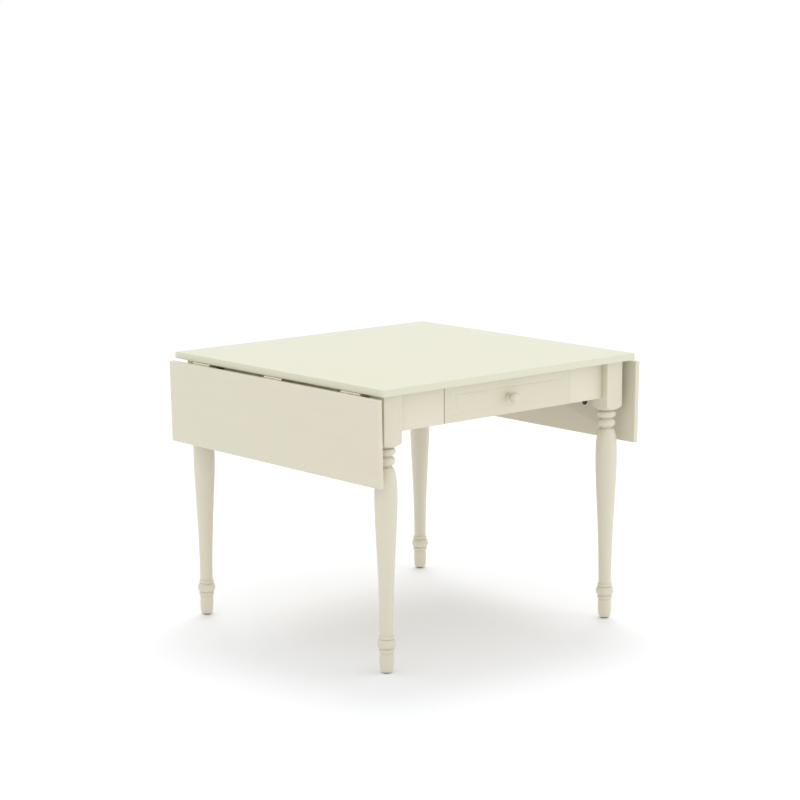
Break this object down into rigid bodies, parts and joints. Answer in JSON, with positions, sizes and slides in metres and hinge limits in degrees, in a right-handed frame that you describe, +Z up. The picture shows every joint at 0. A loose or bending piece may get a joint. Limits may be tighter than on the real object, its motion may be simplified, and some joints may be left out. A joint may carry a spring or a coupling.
{
  "type": "drop leaf table",
  "caption": "Cream painted square table on turned legs, with a drop leaf hanging at each side on hinges and folding stays, and a knobbed drawer in the front apron.",
  "frame": {"origin": "on the floor, under the middle of the table", "axes": "+X from leaf to leaf, towards the leaf on the drawer's right as it is seen from the front; -Y is the front, with the drawer; +Z up"},
  "size_m": [0.9608, 0.884, 0.75],
  "materials": {
    "painted_top": "satin cream paint",
    "painted_leaf": "satin cream paint",
    "painted_frame": "satin cream paint",
    "bare_wood": "bare sanded wood",
    "drawer_ply": "thin plywood",
    "hinge_zinc": "zinc plated",
    "stay_black": "black satin",
    "glide": "moulded"
  },
  "bodies": {
    "table_frame": {"table_top": "painted_top", "front_left_leg": "painted_frame", "front_right_leg": "painted_frame", "back_left_leg": "painted_frame", "back_right_leg": "painted_frame", "front_left_glide": "glide", "front_right_glide": "glide", "back_left_glide": "glide", "back_right_glide": "glide", "left_apron": "painted_frame", "right_apron": "painted_frame", "rear_apron": "painted_frame", "front_left_apron": "painted_frame", "front_right_apron": "painted_frame", "left_drawer_runner": "bare_wood", "right_drawer_runner": "bare_wood", "left_front_hinge_top_plate": "hinge_zinc", "left_front_hinge_pin": "hinge_zinc", "left_middle_hinge_top_plate": "hinge_zinc", "left_middle_hinge_pin": "hinge_zinc", "left_back_hinge_top_plate": "hinge_zinc", "left_back_hinge_pin": "hinge_zinc", "right_front_hinge_top_plate": "hinge_zinc", "right_front_hinge_pin": "hinge_zinc", "right_middle_hinge_top_plate": "hinge_zinc", "right_middle_hinge_pin": "hinge_zinc", "right_back_hinge_top_plate": "hinge_zinc", "right_back_hinge_pin": "hinge_zinc", "left_front_stay_apron_bracket": "stay_black", "left_back_stay_apron_bracket": "stay_black", "right_front_stay_apron_bracket": "stay_black", "right_back_stay_apron_bracket": "stay_black"},
    "left_leaf": {"left_leaf": "painted_leaf", "left_front_hinge_leaf_plate": "hinge_zinc", "left_middle_hinge_leaf_plate": "hinge_zinc", "left_back_hinge_leaf_plate": "hinge_zinc", "left_front_stay_leaf_bracket": "stay_black", "left_back_stay_leaf_bracket": "stay_black"},
    "right_leaf": {"right_leaf": "painted_leaf", "right_front_hinge_leaf_plate": "hinge_zinc", "right_middle_hinge_leaf_plate": "hinge_zinc", "right_back_hinge_leaf_plate": "hinge_zinc", "right_front_stay_leaf_bracket": "stay_black", "right_back_stay_leaf_bracket": "stay_black"},
    "drawer": {"drawer_front": "painted_frame", "drawer_left_side": "bare_wood", "drawer_right_side": "bare_wood", "drawer_back": "bare_wood", "drawer_bottom": "drawer_ply", "drawer_knob": "painted_frame"},
    "left_front_lower_arm": {"left_front_stay_lower_arm": "stay_black"},
    "left_front_upper_arm": {"left_front_stay_upper_arm": "stay_black"},
    "left_back_lower_arm": {"left_back_stay_lower_arm": "stay_black"},
    "left_back_upper_arm": {"left_back_stay_upper_arm": "stay_black"},
    "right_front_lower_arm": {"right_front_stay_lower_arm": "stay_black"},
    "right_front_upper_arm": {"right_front_stay_upper_arm": "stay_black"},
    "right_back_lower_arm": {"right_back_stay_lower_arm": "stay_black"},
    "right_back_upper_arm": {"right_back_stay_upper_arm": "stay_black"}
  },
  "joints": [
    {"name": "left_leaf_hinge", "type": "hinge", "parent": "table_frame", "child": "left_leaf", "pos_m": [-0.4574, 0, 0.727], "axis": [0, 1, 0], "range_deg": [0, 91.3]},
    {"name": "right_leaf_hinge", "type": "hinge", "parent": "table_frame", "child": "right_leaf", "pos_m": [0.4574, 0, 0.727], "axis": [0, -1, 0], "range_deg": [0, 91.3]},
    {"name": "drawer_slide", "type": "slide", "parent": "table_frame", "child": "drawer", "axis": [0, -1, 0], "range_m": [0, 0.3]},
    {"name": "left_front_stay_apron_pivot", "type": "hinge", "parent": "table_frame", "child": "left_front_lower_arm", "pos_m": [-0.4239, -0.29, 0.677], "axis": [0, 1, 0], "range_deg": [0, 97.5]},
    {"name": "left_front_stay_leaf_pivot", "type": "hinge", "parent": "left_leaf", "child": "left_front_upper_arm", "pos_m": [-0.44947, -0.29, 0.64216], "axis": [0, 1, 0], "range_deg": [-107, 0]},
    {"name": "left_back_stay_apron_pivot", "type": "hinge", "parent": "table_frame", "child": "left_back_lower_arm", "pos_m": [-0.4239, 0.29, 0.677], "axis": [0, 1, 0], "range_deg": [0, 97.5]},
    {"name": "left_back_stay_leaf_pivot", "type": "hinge", "parent": "left_leaf", "child": "left_back_upper_arm", "pos_m": [-0.44947, 0.29, 0.64216], "axis": [0, 1, 0], "range_deg": [-107, 0]},
    {"name": "right_front_stay_apron_pivot", "type": "hinge", "parent": "table_frame", "child": "right_front_lower_arm", "pos_m": [0.4239, -0.29, 0.677], "axis": [0, -1, 0], "range_deg": [0, 97.5]},
    {"name": "right_front_stay_leaf_pivot", "type": "hinge", "parent": "right_leaf", "child": "right_front_upper_arm", "pos_m": [0.44947, -0.29, 0.64216], "axis": [0, -1, 0], "range_deg": [-107, 0]},
    {"name": "right_back_stay_apron_pivot", "type": "hinge", "parent": "table_frame", "child": "right_back_lower_arm", "pos_m": [0.4239, 0.29, 0.677], "axis": [0, -1, 0], "range_deg": [0, 97.5]},
    {"name": "right_back_stay_leaf_pivot", "type": "hinge", "parent": "right_leaf", "child": "right_back_upper_arm", "pos_m": [0.44947, 0.29, 0.64216], "axis": [0, -1, 0], "range_deg": [-107, 0]}
  ],
  "couplings": [
    {"joint": "left_front_stay_apron_pivot", "follows": "left_leaf_hinge", "ratio": 1.0661},
    {"joint": "left_front_stay_leaf_pivot", "follows": "left_leaf_hinge", "ratio": -1.1708},
    {"joint": "left_back_stay_apron_pivot", "follows": "left_leaf_hinge", "ratio": 1.0661},
    {"joint": "left_back_stay_leaf_pivot", "follows": "left_leaf_hinge", "ratio": -1.1708},
    {"joint": "right_front_stay_apron_pivot", "follows": "right_leaf_hinge", "ratio": 1.0661},
    {"joint": "right_front_stay_leaf_pivot", "follows": "right_leaf_hinge", "ratio": -1.1708},
    {"joint": "right_back_stay_apron_pivot", "follows": "right_leaf_hinge", "ratio": 1.0661},
    {"joint": "right_back_stay_leaf_pivot", "follows": "right_leaf_hinge", "ratio": -1.1708}
  ]
}
